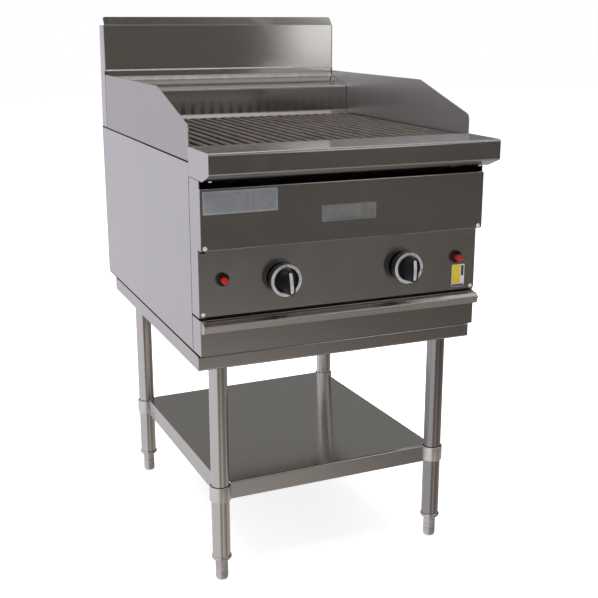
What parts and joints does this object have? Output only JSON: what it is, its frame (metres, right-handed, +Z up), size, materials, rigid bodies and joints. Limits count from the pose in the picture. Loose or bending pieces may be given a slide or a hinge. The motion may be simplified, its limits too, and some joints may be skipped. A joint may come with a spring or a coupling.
{
  "type": "charbroiler grill",
  "caption": "Freestanding gas charbroiler: grates between sloped side guards, flued splashback, landing ledge, knobs, grease drawer, tube-leg stand with undershelf.",
  "frame": {"origin": "on the floor under the middle of the overall box", "axes": "+Z up, -Y towards the cook (front), +X to the cook's right"},
  "size_m": [0.612, 0.862, 1.1564],
  "materials": {
    "steel_brushed": "brushed",
    "steel_tube": "satin",
    "steel_liner": "heat darkened",
    "iron_cast": "seasoned",
    "plastic_black": "satin",
    "plastic_red": "gloss",
    "dial_satin": "satin",
    "brass": "satin",
    "pipe_steel": "matte",
    "foil": "satin",
    "sticker_yellow": "gloss"
  },
  "bodies": {
    "frame": {"stand_rail_front": "steel_brushed", "stand_rail_back": "steel_brushed", "stand_rail_left": "steel_brushed", "stand_rail_right": "steel_brushed", "undershelf": "steel_brushed", "leg_front_left": "steel_tube", "leg_front_right": "steel_tube", "leg_back_left": "steel_tube", "leg_back_right": "steel_tube", "leg_sockets": "steel_tube", "shelf_collars": "steel_tube", "foot_inserts": "steel_tube", "side_panel_left": "steel_brushed", "side_panel_right": "steel_brushed", "back_panel": "steel_brushed", "cheek_left": "steel_brushed", "cheek_right": "steel_brushed", "control_panel": "steel_brushed", "upper_front_panel": "steel_brushed", "landing_ledge": "steel_brushed", "splashback": "steel_brushed", "flue_back": "steel_brushed", "flue_riser": "steel_brushed", "side_splash_left": "steel_brushed", "side_splash_right": "steel_brushed", "firebox_sides": "steel_liner", "firebox_ends": "steel_liner", "grate_rests": "steel_liner", "radiants": "iron_cast", "burner_left": "iron_cast", "burner_right": "iron_cast", "radiant_rack": "steel_liner", "gas_manifold": "pipe_steel", "gas_inlet_pipe": "pipe_steel", "gas_valves": "brass", "igniter_bezels": "plastic_black", "badge_plate": "foil", "notice_plate": "foil", "sticker": "sticker_yellow", "panel_screws": "steel_tube", "drawer_runners": "steel_brushed"},
    "drawer": {"drawer_front": "steel_brushed", "drawer_lip": "steel_brushed", "drawer_tray": "steel_brushed"},
    "grate_body_1": {"grate_1": "iron_cast"},
    "grate_body_2": {"grate_2": "iron_cast"},
    "grate_body_3": {"grate_3": "iron_cast"},
    "grate_body_4": {"grate_4": "iron_cast"},
    "spindle_body_left": {"spindle_left": "brass"},
    "knob_body_left": {"knob_left": "plastic_black", "knob_trim_left": "dial_satin"},
    "igniter_body_left": {"igniter_button_left": "plastic_red"},
    "spindle_body_right": {"spindle_right": "brass"},
    "knob_body_right": {"knob_right": "plastic_black", "knob_trim_right": "dial_satin"},
    "igniter_body_right": {"igniter_button_right": "plastic_red"},
    "foot_body_front_left": {"foot_front_left": "steel_tube"},
    "foot_body_front_right": {"foot_front_right": "steel_tube"},
    "foot_body_back_left": {"foot_back_left": "steel_tube"},
    "foot_body_back_right": {"foot_back_right": "steel_tube"}
  },
  "joints": [
    {"name": "drawer_slide", "type": "slide", "parent": "frame", "child": "drawer", "axis": [0, -1, 0], "range_m": [0, 0.45]},
    {"name": "grate_lift_1", "type": "slide", "parent": "frame", "child": "grate_body_1", "axis": [0, 0, 1], "range_m": [0, 0.2]},
    {"name": "grate_lift_2", "type": "slide", "parent": "frame", "child": "grate_body_2", "axis": [0, 0, 1], "range_m": [0, 0.2]},
    {"name": "grate_lift_3", "type": "slide", "parent": "frame", "child": "grate_body_3", "axis": [0, 0, 1], "range_m": [0, 0.2]},
    {"name": "grate_lift_4", "type": "slide", "parent": "frame", "child": "grate_body_4", "axis": [0, 0, 1], "range_m": [0, 0.2]},
    {"name": "knob_turn_left", "type": "hinge", "parent": "frame", "child": "spindle_body_left", "pos_m": [-0.1345, -0.354, 0.661], "axis": [0, -1, 0], "range_deg": [0, 180]},
    {"name": "knob_push_left", "type": "slide", "parent": "spindle_body_left", "child": "knob_body_left", "axis": [0, 1, 0], "range_m": [0, 0.0035], "stiffness_N_per_m": 2000, "springref_m": -0.003},
    {"name": "igniter_press_left", "type": "slide", "parent": "frame", "child": "igniter_body_left", "axis": [0, 1, 0], "range_m": [0, 0.006], "stiffness_N_per_m": 800, "springref_m": -0.004},
    {"name": "knob_turn_right", "type": "hinge", "parent": "frame", "child": "spindle_body_right", "pos_m": [0.1345, -0.354, 0.661], "axis": [0, -1, 0], "range_deg": [0, 180]},
    {"name": "knob_push_right", "type": "slide", "parent": "spindle_body_right", "child": "knob_body_right", "axis": [0, 1, 0], "range_m": [0, 0.0035], "stiffness_N_per_m": 2000, "springref_m": -0.003},
    {"name": "igniter_press_right", "type": "slide", "parent": "frame", "child": "igniter_body_right", "axis": [0, 1, 0], "range_m": [0, 0.006], "stiffness_N_per_m": 800, "springref_m": -0.004},
    {"name": "foot_adjust_front_left", "type": "slide", "parent": "frame", "child": "foot_body_front_left", "axis": [0, 0, -1], "range_m": [-0.02, 0.02]},
    {"name": "foot_adjust_front_right", "type": "slide", "parent": "frame", "child": "foot_body_front_right", "axis": [0, 0, -1], "range_m": [-0.02, 0.02]},
    {"name": "foot_adjust_back_left", "type": "slide", "parent": "frame", "child": "foot_body_back_left", "axis": [0, 0, -1], "range_m": [-0.02, 0.02]},
    {"name": "foot_adjust_back_right", "type": "slide", "parent": "frame", "child": "foot_body_back_right", "axis": [0, 0, -1], "range_m": [-0.02, 0.02]}
  ]
}
